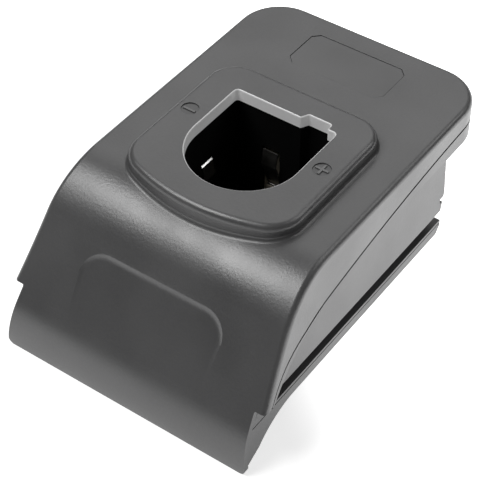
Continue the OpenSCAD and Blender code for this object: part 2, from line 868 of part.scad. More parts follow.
module terminal_block() {
    color([0.08, 0.08, 0.08])
        difference() {
            union() {
                translate([0, 0, block_z]) linear_extrude(block_top - block_z) block_window(0);
                translate([0, 0, base_z + floor_t]) linear_extrude(1.4) block_window(1.5);
            }
            for (name = contact_names) {
                translate([plate_x(name) - plate_w / 2, block_y - plate_l / 2, block_z - 1])
                    cube([plate_w, plate_l, 1 + plate_t]);
                translate([plate_x(name) - tail_w / 2, block_y - plate_t / 2, block_z - 1])
                    cube([tail_w, plate_t, big]);
            }
        }
}

// A flat plate in the block's underside, with a tail that comes out on top
module output_plate(name) {
    color([0.82, 0.8, 0.76])
        union() {
            translate([plate_x(name) - plate_w / 2, block_y - plate_l / 2, block_z])
                cube([plate_w, plate_l, plate_t]);
            translate([plate_x(name) - tail_w / 2, block_y - plate_t / 2, block_z])
                cube([tail_w, plate_t, board_top + 0.8 - block_z]);
        }
}

// ---- insulated leads, swept along the runs that the ribs and joints leave them ----
lead_r = lead_d / 2;
lead_sides = 12;
// Rounds the corners of a path: each corner becomes a short curve that starts r before it
function round_path(p, r, n = 5) = concat(
    [p[0]],
    [for (i = [1:len(p) - 2]) let (
        a = p[i] + r * (p[i - 1] - p[i]) / norm(p[i - 1] - p[i]),
        b = p[i] + r * (p[i + 1] - p[i]) / norm(p[i + 1] - p[i]))
        for (k = [0:n]) let (f = k / n) pow(1 - f, 2) * a + 2 * f * (1 - f) * p[i] + f * f * b],
    [p[len(p) - 1]]
);
function tangents(p) = [for (i = [0:len(p) - 1])
    let (d = p[min(i + 1, len(p) - 1)] - p[max(i - 1, 0)]) d / norm(d)];
// Carries a side direction along the path without twist
function side_along(t, u, i = 0) = i == len(t) ? [] :
    let (v = u - (u * t[i]) * t[i], w = v / norm(v)) concat([w], side_along(t, w, i + 1));

module lead(points, r, first_side) {
    p = round_path(points, r);
    t = tangents(p);
    u = side_along(t, first_side);
    loft([for (i = [0:len(p) - 1])
        [for (j = [0:lead_sides - 1]) let (a = -360 * j / lead_sides)
            p[i] + lead_r * (cos(a) * u[i] + sin(a) * cross(t[i], u[i]))]]);
}

lead_z = tab_z + lead_r - hair;
lead_side_x = outer_half + holder_d + 1.6;
hole_z = board_top + 2;
hole_y = header_place[1] - 0.4;
hole_x = [header_place[0] - 5, header_place[0] - 1.5, header_place[0] + 5.5];

// From the left contact, down under the third holder, up in front of the board
module lead_negative() {
    color([0.1, 0.1, 0.1])
        lead([
            [-lead_side_x, leaf_y - tab_w / 2, lead_z], [-lead_side_x, leaf_y + 12, lead_z],
            [-24, well_rear + 2, base_z + 4.3], [-2, well_rear + 2.6, base_z + 4.3],
            [hole_x[0], well_rear + 3.4, base_z + 8], [hole_x[0], well_rear + 3.4, hole_z],
            [hole_x[0], hole_y, hole_z]
        ], 2.2, [1, 0, 0]);
}

// From the right contact, back past the well and along its rear to the header
module lead_positive() {
    color([0.7, 0.08, 0.06])
        lead([
            [lead_side_x, leaf_y - tab_w / 2, lead_z], [lead_side_x, leaf_y + 14, lead_z],
            [24, well_rear + 4.6, hole_z - 2], [hole_x[2], well_rear + 4.8, hole_z],
            [hole_x[2], hole_y, hole_z]
        ], 2.2, [1, 0, 0]);
}

// From the third contact, forward round the edge of the board
module lead_sense() {
    color([0.9, 0.9, 0.88])
        lead([
            [sense_x - tab_w / 2, well_rear + 6.2, lead_z], [hole_x[0] - 1, well_rear + 6.2, lead_z],
            [hole_x[1], well_rear + 5, lead_z + 2.6], [hole_x[1], well_rear + 5, hole_z],
            [hole_x[1], hole_y, hole_z]
        ], 1.8, [0, 0, 1]);
}

// ---- screws: a round head with a cross recess on a plain shank ----
module screw(r, l, head_r, head_h) {
    difference() {
        union() {
            translate([0, 0, -head_h / 2]) cylinder(r = r, h = l + head_h / 2);
            translate([0, 0, -head_h]) cylinder(r = head_r, h = head_h);
        }
        for (a = [0, 90])
            rotate([0, 0, a]) translate([-head_r * 0.6, -0.35, -head_h - 1]) cube([head_r * 1.2, 0.7, 2]);
    }
}

module housing_screws() {
    color([0.6, 0.6, 0.62])
        for (p = post_places)
            translate([p[0], p[1], screw_seat]) screw(pilot_r, screw_l, screw_head_r, screw_head_h);
}

module board_screws() {
    color([0.6, 0.6, 0.62])
        for (p = board_places)
            translate([p[0], p[1], board_top]) rotate([180, 0, 0]) screw(board_screw_r - 0.2, 5, 2, 1.4);
}

module well_screws() {
    color([0.6, 0.6, 0.62])
        for (p = well_places)
            translate([p[0], p[1], flange_top - flange_t]) screw(well_screw_r - 0.2, well_screw_l, 2, 1.4);
}

top_cover();
lower_housing();
battery_well();
label_plate();
contact_leaf("negative");  // leaf_negative
contact_leaf("positive");  // leaf_positive
contact_leaf("sense");  // leaf_sense
contact_holder("negative");  // holder_negative
contact_holder("positive");  // holder_positive
contact_holder("sense");  // holder_sense
contact_tabs();
circuit_board();
lead_header();
fuse();
diode();
resistor();
capacitor();
terminal_block();
output_plate("negative");  // output_plate_negative
output_plate("positive");  // output_plate_positive
output_plate("sense");  // output_plate_sense
lead_negative();
lead_positive();
lead_sense();
housing_screws();
board_screws();
well_screws();
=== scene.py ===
import math
import bpy
import bmesh
import numpy as np
from mathutils import Matrix, Vector


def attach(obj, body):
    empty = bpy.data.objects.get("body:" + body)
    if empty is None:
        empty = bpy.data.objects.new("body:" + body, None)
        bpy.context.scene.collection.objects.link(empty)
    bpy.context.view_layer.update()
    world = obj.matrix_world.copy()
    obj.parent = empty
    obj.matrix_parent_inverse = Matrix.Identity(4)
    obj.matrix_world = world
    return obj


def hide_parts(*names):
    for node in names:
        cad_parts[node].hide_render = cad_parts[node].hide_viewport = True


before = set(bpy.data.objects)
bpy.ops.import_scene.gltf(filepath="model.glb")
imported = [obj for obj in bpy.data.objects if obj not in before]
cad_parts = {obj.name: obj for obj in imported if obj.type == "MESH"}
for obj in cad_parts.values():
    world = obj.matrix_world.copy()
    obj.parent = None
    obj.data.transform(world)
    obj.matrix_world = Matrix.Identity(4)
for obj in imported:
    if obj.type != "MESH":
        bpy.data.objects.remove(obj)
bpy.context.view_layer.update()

MM = 0.001


def cos(degrees):
    return math.cos(math.radians(degrees))


def sin(degrees):
    return math.sin(math.radians(degrees))


# ---------------------------------------------------------------- camera
# solved from the rails, corners and edges in the photo; the lens is 1612 of the photo's pixels
AZ, EL, ROLL = 35.535, 44.449, -0.047
CAMERA_AT = (0.22073, -0.31739, 0.39508)
SENSOR, LENS = 36, 120.9
cam_data = bpy.data.cameras.new("camera")
cam = bpy.data.objects.new("camera", cam_data)
bpy.context.scene.collection.objects.link(cam)
cam_data.sensor_width = SENSOR
cam_data.lens = LENS
cam_data.clip_start = 0.01
cam_data.clip_end = 20
cam.location = CAMERA_AT
cam.rotation_euler = (
    Matrix.Rotation(math.radians(AZ), 3, "Z")
    @ Matrix.Rotation(math.radians(90 - EL), 3, "X")
    @ Matrix.Rotation(math.radians(ROLL), 3, "Z")
).to_euler()
bpy.context.scene.camera = cam

# ---------------------------------------------------------------- sizes, in mm, as in the CAD
REAR, TOP, HALF = 72.5, 55.5, 45.0
WALL, REAR_R, EDGE_R = 2.0, 16.0, 2.2
SIDE_DEPTH, LIP_DEPTH = 24.0, 12.0
SLOPE, BEND_R, LIP_R, CURL = 55.0, 30.0, 26.0, 2.1
FLARE, NOTCH_DROP, APRON, LEAN = 4.9, 33.9, 45.4, 6.0
PLAT_H, RIM_R, FOOT_R = 5.0, 2.3, 1.3
FACE = TOP + PLAT_H
LIP_Z = FACE - 4.5

# the side view: flat top, bend, slope and the lip that curls down into the apron
nrm = np.array([-sin(SLOPE), cos(SLOPE)])
down = np.array([-cos(SLOPE), -sin(SLOPE)])
lip_c = np.array([-REAR + LIP_R, CURL])
foot = lip_c + LIP_R * nrm
bend_z = TOP - BEND_R
bend_y = foot[0] + (BEND_R + (bend_z - foot[1]) * nrm[1]) / -nrm[0]
bend_c = np.array([bend_y, bend_z])
head = bend_c + BEND_R * nrm
slope_l = np.linalg.norm(foot - head)
curl_a = math.degrees(math.asin(CURL / LIP_R))
notch_z = TOP - NOTCH_DROP
notch_y = foot[0] + (notch_z - foot[1]) / math.tan(math.radians(SLOPE))


def half_at(y):
    """Half the width at y: straight at the rear, flared towards the front."""
    return HALF + FLARE * (max(0.0, bend_y - y) / (bend_y - notch_y)) ** 2


def surface_z(y):
    """The height of the top surface at y, from the rear to the end of the bend."""
    return TOP if y >= bend_y else bend_z + math.sqrt(BEND_R**2 - (bend_y - y) ** 2)


# ---------------------------------------------------------------- mesh helpers
def add(name, verts, faces, scale=MM):
    me = bpy.data.meshes.new(name)
    me.from_pydata([tuple(float(c) * scale for c in v) for v in verts], [], faces)
    me.update()
    ob = bpy.data.objects.new(name, me)
    bpy.context.scene.collection.objects.link(ob)
    return ob


def loft(name, rings):
    """A closed solid through rings that each have the same count of points."""
    n, m = len(rings), len(rings[0])
    verts = [p for r in rings for p in r]
    faces = [tuple(range(m))]
    for i in range(n - 1):
        for j in range(m):
            k = (j + 1) % m
            faces.append((i * m + j, (i + 1) * m + j, (i + 1) * m + k, i * m + k))
    faces.append(tuple((n - 1) * m + j for j in range(m - 1, -1, -1)))
    ob = add(name, verts, faces)
    outward(ob)
    return ob


def outward(ob):
    """Turns all faces of a closed mesh outwards."""
    bm = bmesh.new()
    bm.from_mesh(ob.data)
    bmesh.ops.recalc_face_normals(bm, faces=bm.faces)
    if bm.calc_volume(signed=True) < 0:
        bmesh.ops.reverse_faces(bm, faces=bm.faces)
    bm.to_mesh(ob.data)
    bm.free()


def prism(name, outline, low, high, axis="z"):
    """A straight prism over an outline: along Z over XY points, or along X over YZ points."""
    if axis == "z":
        rings = [[(a, b, end) for a, b in outline] for end in (low, high)]
    else:
        rings = [[(end, a, b) for a, b in outline] for end in (low, high)]
    return loft(name, rings)


def boolean(ob, other, how):
    """Applies a boolean of ob with other, and removes other."""
    md = ob.modifiers.new("b", "BOOLEAN")
    md.operation = how
    md.solver = "EXACT"
    md.object = other
    dg = bpy.context.evaluated_depsgraph_get()
    me = bpy.data.meshes.new_from_object(ob.evaluated_get(dg))
    ob.modifiers.remove(md)
    old = ob.data
    ob.data = me
    bpy.data.meshes.remove(old)
    bpy.data.objects.remove(other)


def finish_shading(ob, angle=28):
    """Smooth shading with sharp edges above the angle, and normals weighted by face area."""
    bm = bmesh.new()
    bm.from_mesh(ob.data)
    bmesh.ops.remove_doubles(bm, verts=bm.verts, dist=2e-6)
    bmesh.ops.dissolve_degenerate(bm, dist=1e-6, edges=bm.edges)
    bm.to_mesh(ob.data)
    bm.free()
    ob.data.polygons.foreach_set("use_smooth", [True] * len(ob.data.polygons))
    ob.data.set_sharp_from_angle(angle=math.radians(angle))
    md = ob.modifiers.new("weights", "WEIGHTED_NORMAL")
    md.mode = "FACE_AREA"
    md.keep_sharp = True
    dg = bpy.context.evaluated_depsgraph_get()
    me = bpy.data.meshes.new_from_object(ob.evaluated_get(dg))
    ob.modifiers.remove(md)
    ob.data = me


def rounded(points, radii, step=6.0):
    """Rounds the corners of a closed outline. A radius of 0 keeps the corner."""
    out = []
    n = len(points)
    for i in range(n):
        p0, p, p1 = (np.array(points[(i + d) % n], float) for d in (-1, 0, 1))
        r = radii[i]
        if r <= 0:
            out.append(tuple(p))
            continue
        a = (p0 - p) / np.linalg.norm(p0 - p)
        b = (p1 - p) / np.linalg.norm(p1 - p)
        ang = math.acos(max(-1.0, min(1.0, float(a @ b))))
        t = r / math.tan(ang / 2)
        c = p + (a + b) / np.linalg.norm(a + b) * (r / math.sin(ang / 2))
        q0, q1 = p + a * t - c, p + b * t - c
        a0, a1 = math.atan2(q0[1], q0[0]), math.atan2(q1[1], q1[0])
        d = (a1 - a0 + math.pi) % (2 * math.pi) - math.pi
        k = max(2, int(abs(math.degrees(d)) / step) + 1)
        for s in range(k + 1):
            w = a0 + d * s / k
            out.append((c[0] + r * math.cos(w), c[1] + r * math.sin(w)))
    return out


def grow(outline, g):
    """Moves a counter-clockwise outline outwards by g."""
    p = np.array(outline)
    n = len(p)
    area = 0.5 * sum(p[i][0] * p[(i + 1) % n][1] - p[(i + 1) % n][0] * p[i][1] for i in range(n))
    s = 1.0 if area > 0 else -1.0
    out = []
    for i in range(n):
        a = p[i] - p[i - 1]
        b = p[(i + 1) % n] - p[i]
        la, lb = np.linalg.norm(a), np.linalg.norm(b)
        na = np.array([a[1], -a[0]]) / la * s
        nb = np.array([b[1], -b[0]]) / lb * s
        m = na + nb
        m = m / (m @ m) * 2
        out.append(tuple(p[i] + m * g))
    return out


# ---------------------------------------------------------------- top cover, finely made
def path_points(bend_n, slope_n, lip_n):
    """Stations along the side view, each with y, z, its tilt and the depth of its side walls."""
    pts = []
    for i in range(bend_n + 1):
        a = SLOPE * i / bend_n
        pts.append((bend_c[0] - BEND_R * sin(a), bend_c[1] + BEND_R * cos(a), a, SIDE_DEPTH))
    for i in range(1, slope_n + 1):
        f = i / slope_n
        q = head + f * slope_l * down
        pts.append((q[0], q[1], SLOPE, SIDE_DEPTH - (SIDE_DEPTH - LIP_DEPTH) * f))
    for i in range(1, lip_n + 1):
        a = SLOPE + (90 + curl_a - SLOPE) * i / lip_n
        pts.append((lip_c[0] - LIP_R * sin(a), lip_c[1] + LIP_R * cos(a), a, LIP_DEPTH))
    return pts


def section(y, z, a, depth, half, drop):
    """A ring tilted by a: the half widths at the drops below (y, z), and side walls to depth."""
    right = [(half[0], depth)] + list(zip(half, drop))
    ring = right + [(-x, d) for x, d in reversed(right)]
    return [(x, y + d * sin(a), z - d * cos(a)) for x, d in ring]


def body(name, t, edge_n, bend_n, slope_n, lip_n, corner_n):
    """The housing's outer form, t inside its surface, lofted from the rear to the lip."""
    r = max(0.6, EDGE_R - t)
    corner = REAR_R - t
    w = HALF - t
    ks = [90.0 * k / edge_n for k in range(edge_n + 1)]
    drop = [r * (1 - sin(k)) for k in ks]
    e = [r * (1 - cos(k)) for k in ks]
    a0 = math.degrees(math.acos(1 - r / corner))
    rings = []

    def rear_half(inset, d):
        """Half the width at d from the rear, inset from the rounded rear corners."""
        return w - corner + math.sqrt(max(0.0, (corner - inset) ** 2 - (corner - d) ** 2))

    # the rounded rear edge, then the rear corners
    rear_n = 10 if edge_n > 4 else 4
    for i in range(rear_n + 1):
        f = max(90.0 * i / rear_n, 1.5)
        d = r * (1 - cos(f))
        part = [f * k / edge_n for k in range(edge_n + 1)]
        half = [rear_half(r * (1 - cos(q)), d) for q in part]
        rear_drop = [r * (1 - sin(q)) for q in part]
        rings.append(section(REAR - t - d, TOP - t, 0, SIDE_DEPTH + r, half, rear_drop))
    for i in range(1, corner_n + 1):
        d = corner * (1 - cos(a0 + (90 - a0) * i / corner_n))
        half = [rear_half(k, d) for k in e]
        rings.append(section(REAR - t - d, TOP - t, 0, SIDE_DEPTH + r, half, drop))
    pts = path_points(bend_n, slope_n, lip_n)
    if t > 0:
        # an inner form runs on a little past the lip, and reaches a little deeper
        a = 90 + curl_a + 6
        pts.append((lip_c[0] - LIP_R * sin(a), lip_c[1] + LIP_R * cos(a), a, LIP_DEPTH))
    else:
        # a few stations on the flat top, so that the long sides shade evenly
        y0 = REAR - corner
        for i in range(1, 8):
            pts.insert(i - 1, (y0 + (bend_y - y0) * i / 8, TOP, 0.0, SIDE_DEPTH))
    past = 1 if t > 0 else 0
    for y, z, a, depth in pts:
        half = [half_at(y) - t - k for k in e]
        ring = section(y + t * sin(a), z - t * cos(a), a, depth + past, half, drop)
        # the side walls take the flare of the place that each point lies at
        rings.append([(math.copysign(abs(px) + half_at(py) - half_at(y), px), py, pz) for px, py, pz in ring])
    return loft(name, rings)


# Parting line: a long shallow fall from the rear, and in front two ways on. The lower
# housing of the CAD ends at an arc, and the cover's edge here lies a little higher, with a
# thin flush edge of the lower housing between the two.
P_DROP, P_FALL, P_BOW, P_ARC_D, P_ARC_R = 7.0, 0.028, 0.001, 102.0, 75.0
P_FRONT, P_FRONT_FALL, P_FRONT_CURL = 105.6, 0.20, 1.49e-5
# the seam: how far the cover's edge is above the line, and the lower edge below it
GAP_UP, GAP_DOWN = 0.58, 0.42
p_a = math.degrees(math.atan(P_FALL + 2 * P_BOW * P_ARC_D))


def part_depth(d):
    """How far the parting line is below the top at d from the rear."""
    return P_DROP + P_FALL * d + P_BOW * d * d


def part_rear(last):
    """The rear part of the line, up to last mm from the rear."""
    return [(REAR + 20, TOP - P_DROP)] + [(REAR - d, TOP - part_depth(d)) for d in range(0, last, 2)]


def part_line():
    """The upper edge of the lower housing, as in the CAD but finer."""
    out = part_rear(103)
    end_a = math.degrees(math.acos(cos(p_a) - (NOTCH_DROP + 0.15 - part_depth(P_ARC_D)) / P_ARC_R))
    for i in range(1, 25):
        a = p_a + (end_a - p_a) * i / 24
        d = P_ARC_D + P_ARC_R * (sin(a) - sin(p_a))
        out.append((REAR - d, TOP - (part_depth(P_ARC_D) + P_ARC_R * (cos(p_a) - cos(a)))))
    return out


def cover_line():
    """The lower edge of the cover: straight on, then curling down to the notch."""
    out = part_rear(105)
    for i in range(0, 28):
        depth = part_depth(P_FRONT) + P_FRONT_FALL * i + P_FRONT_CURL * i**4
        out.append((REAR - P_FRONT - i, TOP - depth))
    return out


def strip(upper, lower):
    """A side view of the strip between two lines that both run from the rear to the front."""
    return upper + lower[::-1]


def moved(line, up):
    return [(y, z + up) for y, z in line]


# what belongs to the cover, in the side view
line = moved(cover_line(), GAP_UP)
zone = line + [(line[-1][0], -10), (-150, -10), (-150, 150), (REAR + 20, 150)]

# platform: half its width, its rear and front corners, and its bowed front
PLAT_HALF, PLAT_REAR_R, PLAT_CORNER_R, PLAT_BOW_R = 32.0, 10.5, 12.0, 70.0
PLAT_BACK, PLAT_FRONT = 43, 108.5
bow_y = REAR - PLAT_FRONT + PLAT_BOW_R
corner_x = PLAT_HALF - PLAT_CORNER_R
corner_y = bow_y - math.sqrt((PLAT_BOW_R - PLAT_CORNER_R) ** 2 - corner_x**2)
corner_a = math.degrees(math.atan2(bow_y - corner_y, corner_x))
rear_x = PLAT_HALF - PLAT_REAR_R
rear_y = REAR - PLAT_BACK - PLAT_REAR_R


def turn(c, r, a0, a1, n):
    """An arc about c from angle a0 to a1, in n steps."""
    angles = [a0 + (a1 - a0) * i / n for i in range(n + 1)]
    return [(c[0] + r * cos(a), c[1] + r * sin(a)) for a in angles]


def plat_plan(e):
    """The platform's outline, grown by e."""
    return (
        turn((-rear_x, rear_y), PLAT_REAR_R + e, 90, 180, 18)
        + turn((-corner_x, corner_y), PLAT_CORNER_R + e, -180, corner_a - 180, 18)
        + turn((0, bow_y), PLAT_BOW_R + e, corner_a - 178.5, -corner_a - 1.5, 26)
        + turn((corner_x, corner_y), PLAT_CORNER_R + e, -corner_a, 0, 18)
        + turn((rear_x, rear_y), PLAT_REAR_R + e, 0, 90, 18)
    )


def plat_rings():
    """The platform from below the top surface, over its concave foot, to its rounded rim."""
    rings = [[(x, y, TOP - 8) for x, y in plat_plan(FOOT_R)]]
    for i in range(9):
        a = 90 * i / 8
        plan = plat_plan(FOOT_R * (1 - sin(a)))
        # the first ring is a hair above the surface, so that the two don't coincide
        hair = 0.004 if i == 0 else 0
        rings.append([(x, y, surface_z(y) + FOOT_R * (1 - cos(a)) + hair) for x, y in plan])
    for i in range(9):
        a = 90 * i / 8
        rings.append([(x, y, FACE - RIM_R * (1 - sin(a))) for x, y in plat_plan(-RIM_R * (1 - cos(a)))])
    return rings


# socket: half its width, its rear wall and the centre of its round front; the keyway's
# middle, width and depth
S_HALF, S_REAR, S_ARC = 19.5, REAR - 55.2, REAR - 77.7
KEY_X, KEY_W, KEY_D = 11.5, 8.6, 2.7
KEY_SLANT, SOCKET_CORNER_R, KEY_CORNER_R, MOUTH_R = 1.4, 1.3, 0.75, 0.55


def socket_outline(g=0.0):
    """The socket's outline with its keyway, counter-clockwise, grown by g."""
    h, y, k = S_HALF + g, S_REAR + g, S_REAR + KEY_D + g
    arc = [(h * cos(a), S_ARC + h * sin(a)) for a in np.linspace(-180, 0, 49)]
    pts = arc + [
        (h, y),
        (KEY_X + KEY_W / 2 + g, y),
        (KEY_X + KEY_W / 2 + g, k),
        (KEY_X - KEY_W / 2 - 0.6 * g, k),
        (KEY_X - KEY_W / 2 - KEY_SLANT - 0.6 * g, y),
        (-h, y),
    ]
    inner = max(0.2, KEY_CORNER_R - g)
    outer = KEY_CORNER_R + g
    corner = SOCKET_CORNER_R + g
    return rounded(pts, [0] * len(arc) + [corner, inner, outer, outer, inner, corner])


def socket_cutter():
    """A cutter for the socket's mouth, with a rounded upper edge."""
    base = socket_outline()
    rings = [[(x, y, LIP_Z - 10) for x, y in base]]
    r = MOUTH_R
    for i in range(6):
        a = 90 * i / 5
        rings.append([(x, y, FACE - r + r * sin(a)) for x, y in grow(base, r * (1 - cos(a)))])
    rings.append([(x, y, FACE + 5) for x, y in grow(base, r)])
    return loft("socket_cutter", rings)


def label_outline():
    """The label's place: a rectangle with its corners cut off by c."""
    w, y0, y1, c = 18.7, REAR - 9.5, REAR - 27.9, 2.5
    left = [(-w + c, y0), (-w, y0 - c), (-w, y1 + c), (-w + c, y1)]
    right = [(w - c, y1), (w, y1 + c), (w, y0 - c), (w - c, y0)]
    return left + right


def recess(name, outline, z, depth, r=0.12):
    """A cutter for a shallow recess whose upper edge is rounded by r."""
    rings = [[(x, y, z - depth) for x, y in outline]]
    for i in range(4):
        a = 90 * i / 3
        rings.append([(x, y, z - r + r * sin(a)) for x, y in grow(outline, r * (1 - cos(a)))])
    rings.append([(x, y, z + 3) for x, y in grow(outline, r)])
    return loft(name, rings)


def scoop_cutter():
    """The scoop is deepest at its upper edge and fades out down the slope."""
    w, l, dep, corner = 27.5, 25.0, 0.75, 9.0
    plan = rounded([(-w, -6), (w, -6), (w, l), (-w, l)], [0, 0, corner, corner], 5)
    tilt = math.atan(dep / l)
    # a soft wall: how far out, and how far up
    wall = (
        (-2.0, 0.0),
        (-1.2, 0.07),
        (-0.5, 0.24),
        (0.1, 0.50),
        (0.8, 0.82),
        (1.6, 1.25),
        (3.0, 2.4),
        (4.0, 4.0),
    )
    rings = [[(x, y, up) for x, y in grow(plan, g)] for g, up in wall]
    m = (
        Matrix.Translation((0, head[0], head[1]))
        @ Matrix.Rotation(math.radians(SLOPE), 4, "X")
        @ Matrix.Translation((0, -4.2, -dep))
        @ Matrix.Rotation(-tilt, 4, "X")
        @ Matrix.Translation((0, -l, 0))
    )
    return loft("scoop", [[tuple(m @ Vector(p)) for p in r] for r in rings])


TIP_R = 2.2


def notch_cutter(side):
    """What is cut away beside the apron, with the rounded corner at the apron's tip."""
    t = math.tan(math.radians(LEAN))
    r = TIP_R
    x0 = APRON + (notch_z - r) * t - r * (1 / cos(LEAN))
    pts = [(APRON + 0.5, notch_z), (APRON + 0.15, notch_z - 0.15), (APRON + 0.5 * t, notch_z - 0.5)]
    pts += [(x0 + r * cos(a), r + r * sin(a)) for a in np.linspace(LEAN, -90, 14)]
    pts += [(x0, -6), (APRON + 40, -6), (APRON + 40, notch_z)]
    ring = [(side * x, z) for x, z in pts]
    return loft("notch", [[(x, -150, z) for x, z in ring], [(x, 150, z) for x, z in ring]])


def bar(name, x, y, l, w, z0, z1):
    x0, x1, y0, y1 = x - l / 2, x + l / 2, y - w / 2, y + w / 2
    return prism(name, [(x0, y0), (x1, y0), (x1, y1), (x0, y1)], z0, z1)


def across_part(name, side_view):
    """A prism right across the part, over a side view."""
    return prism(name, side_view, -100, 100, "x")


# steps of the edge, bend, slope, lip and rear corners
COVER_STEPS, STRIP_STEPS, HOLLOW_STEPS = (10, 40, 14, 20, 20), (6, 30, 14, 16, 16), (3, 16, 4, 8, 8)


def hollow():
    return body("hollow", WALL, *HOLLOW_STEPS)


cover = body("top_cover_skin", 0.0, *COVER_STEPS)
boolean(cover, across_part("zone", zone), "INTERSECT")
boolean(cover, loft("platform", plat_rings()), "UNION")
boolean(cover, hollow(), "DIFFERENCE")
core = prism("core", plat_plan(-WALL - RIM_R / 2), TOP - WALL - 2, FACE - WALL)
boolean(cover, core, "DIFFERENCE")
boolean(cover, prism("lip", socket_outline(WALL), LIP_Z, FACE - WALL + 0.3), "UNION")
boolean(cover, socket_cutter(), "DIFFERENCE")
boolean(cover, scoop_cutter(), "DIFFERENCE")
LABEL_DEPTH = 0.5
boolean(cover, recess("label_cut", label_outline(), TOP, LABEL_DEPTH), "DIFFERENCE")
# polarity marks: a shallow round recess with a raised bar or cross in it
MARK_R, MARK_DEPTH = 3.0, 0.35
MINUS_L, PLUS_L, BAR_W = 4.6, 4.8, 0.8
MINUS, PLUS = (-26.0, 0.3), (25.0, 0.5)
MARKS = (MINUS, PLUS)
for mx, my in MARKS:
    disc = [(mx + MARK_R * cos(a), my + MARK_R * sin(a)) for a in range(0, 360, 8)]
    boolean(cover, recess("mark", disc, FACE, MARK_DEPTH), "DIFFERENCE")
bar_z = (FACE - 0.45, FACE - 0.02)
boolean(cover, bar("minus", MINUS[0], MINUS[1] - BAR_W / 2, MINUS_L, BAR_W, *bar_z), "UNION")
boolean(cover, bar("plus_x", *PLUS, PLUS_L, BAR_W, *bar_z), "UNION")
boolean(cover, bar("plus_y", *PLUS, BAR_W, PLUS_L, *bar_z), "UNION")
for side in (-1, 1):
    boolean(cover, notch_cutter(side), "DIFFERENCE")
# the thin rest of the side wall that the hollow and the notch leave behind the apron
rest = [(-64.5, -5), (-50, -5), (-50, 8), (-64.5, 8)]
boolean(cover, across_part("rest", rest), "DIFFERENCE")
finish_shading(cover)

# a near-black sheet just inside the cover's surface, behind the parting line, paints the seam's shadow as a
# dark line
SHADOW_SHEET_IN, EDGE_IN = 0.10, 0.03
seam = strip(moved(cover_line(), GAP_UP + 0.37), moved(cover_line(), -GAP_DOWN - 0.13))
shadow_sheet = body("seam_shadow_sheet", SHADOW_SHEET_IN, *STRIP_STEPS)
boolean(shadow_sheet, across_part("band", seam), "INTERSECT")
boolean(shadow_sheet, hollow(), "DIFFERENCE")
inside = [(-36, -100), (36, -100), (36, 56), (-36, 56)]
boolean(shadow_sheet, prism("inside", inside, 0, 100), "DIFFERENCE")
finish_shading(shadow_sheet)

# the lower housing's flush upper edge, in front, where the cover's edge lies above the CAD's
front = REAR - 98
cheek_top = [p for p in moved(cover_line(), -GAP_DOWN) if p[0] < front]
cheek_foot = [p for p in moved(part_line(), -0.8) if p[0] < front]
cheek = body("lower_edge", EDGE_IN, *STRIP_STEPS)
boolean(cheek, across_part("band", strip(cheek_top, cheek_foot)), "INTERSECT")
boolean(cheek, hollow(), "DIFFERENCE")
finish_shading(cheek)

# the side leaves: width, thickness, middle and upper end, and how far out the end stands
LEAF_W, LEAF_T, LEAF_Y, LEAF_Z, LEAF_X = 5.8, 0.5, REAR - 71.8, TOP - 15.8, -S_HALF - 0.1


def leaf_edge(name, place):
    """The bright upper edge of a leaf, sheared off at a slant that faces into the socket."""
    x0, x1 = LEAF_X - LEAF_T - 0.03, LEAF_X + 0.04
    side = [(x0, LEAF_Z - 0.35), (x1, LEAF_Z - 0.35), (x1, LEAF_Z), (x0, LEAF_Z + 0.29)]
    return loft(name, [[(*place(x, y), z) for x, z in side] for y in (-LEAF_W / 2, LEAF_W / 2)])


leaf_edges = {
    "negative_leaf": leaf_edge("leaf_edge_negative", lambda x, y: (x, LEAF_Y + y)),
    "positive_leaf": leaf_edge("leaf_edge_positive", lambda x, y: (-x, LEAF_Y + y)),
}


# ---------------------------------------------------------------- materials
def new_material(name):
    """A material with its node tree and its shader."""
    m = bpy.data.materials.new(name)
    m.use_nodes = True
    nt = m.node_tree
    return m, nt, nt.nodes["Principled BSDF"]


def multiply_add(nt, value, factor, plus):
    node = nt.nodes.new("ShaderNodeMath")
    node.operation = "MULTIPLY_ADD"
    nt.links.new(value, node.inputs[0])
    node.inputs[1].default_value = factor
    nt.links.new(plus, node.inputs[2])
    return node.outputs[0]


def noise(nt, at, scale, detail=2.0, roughness=0.5):
    node = nt.nodes.new("ShaderNodeTexNoise")
    node.inputs["Scale"].default_value = scale
    node.inputs["Detail"].default_value = detail
    node.inputs["Roughness"].default_value = roughness
    nt.links.new(at, node.inputs["Vector"])
    return node.outputs["Fac"]


def remap(nt, value, low, high, to_low, to_high, how="LINEAR"):
    """Maps a value from the range low to high on to the range to_low to to_high."""
    node = nt.nodes.new("ShaderNodeMapRange")
    node.interpolation_type = how
    node.inputs["From Min"].default_value = low
    node.inputs["From Max"].default_value = high
    node.inputs["To Min"].default_value = to_low
    node.inputs["To Max"].default_value = to_high
    nt.links.new(value, node.inputs["Value"])
    return node.outputs["Result"]


def dress(nt, bs, shade, rgb_low, rgb_high, gloss, height, strength, distance):
    """Links a colour between two, an uneven roughness and a fine relief to a shader."""
    col = nt.nodes.new("ShaderNodeMix")
    col.data_type = "RGBA"
    col.inputs["A"].default_value = (*rgb_low, 1)
    col.inputs["B"].default_value = (*rgb_high, 1)
    nt.links.new(shade, col.inputs["Factor"])
    nt.links.new(col.outputs["Result"], bs.inputs["Base Color"])
    nt.links.new(gloss, bs.inputs["Roughness"])
    bp = nt.nodes.new("ShaderNodeBump")
    bp.inputs["Strength"].default_value = strength
    bp.inputs["Distance"].default_value = distance * MM
    nt.links.new(height, bp.inputs["Height"])
    nt.links.new(bp.outputs["Normal"], bs.inputs["Normal"])


# how far the roughness wanders to each side, and the noise values between which it does
PLASTIC_WANDER, CLOUD_LOW, CLOUD_HIGH = 0.06, 0.3, 0.7


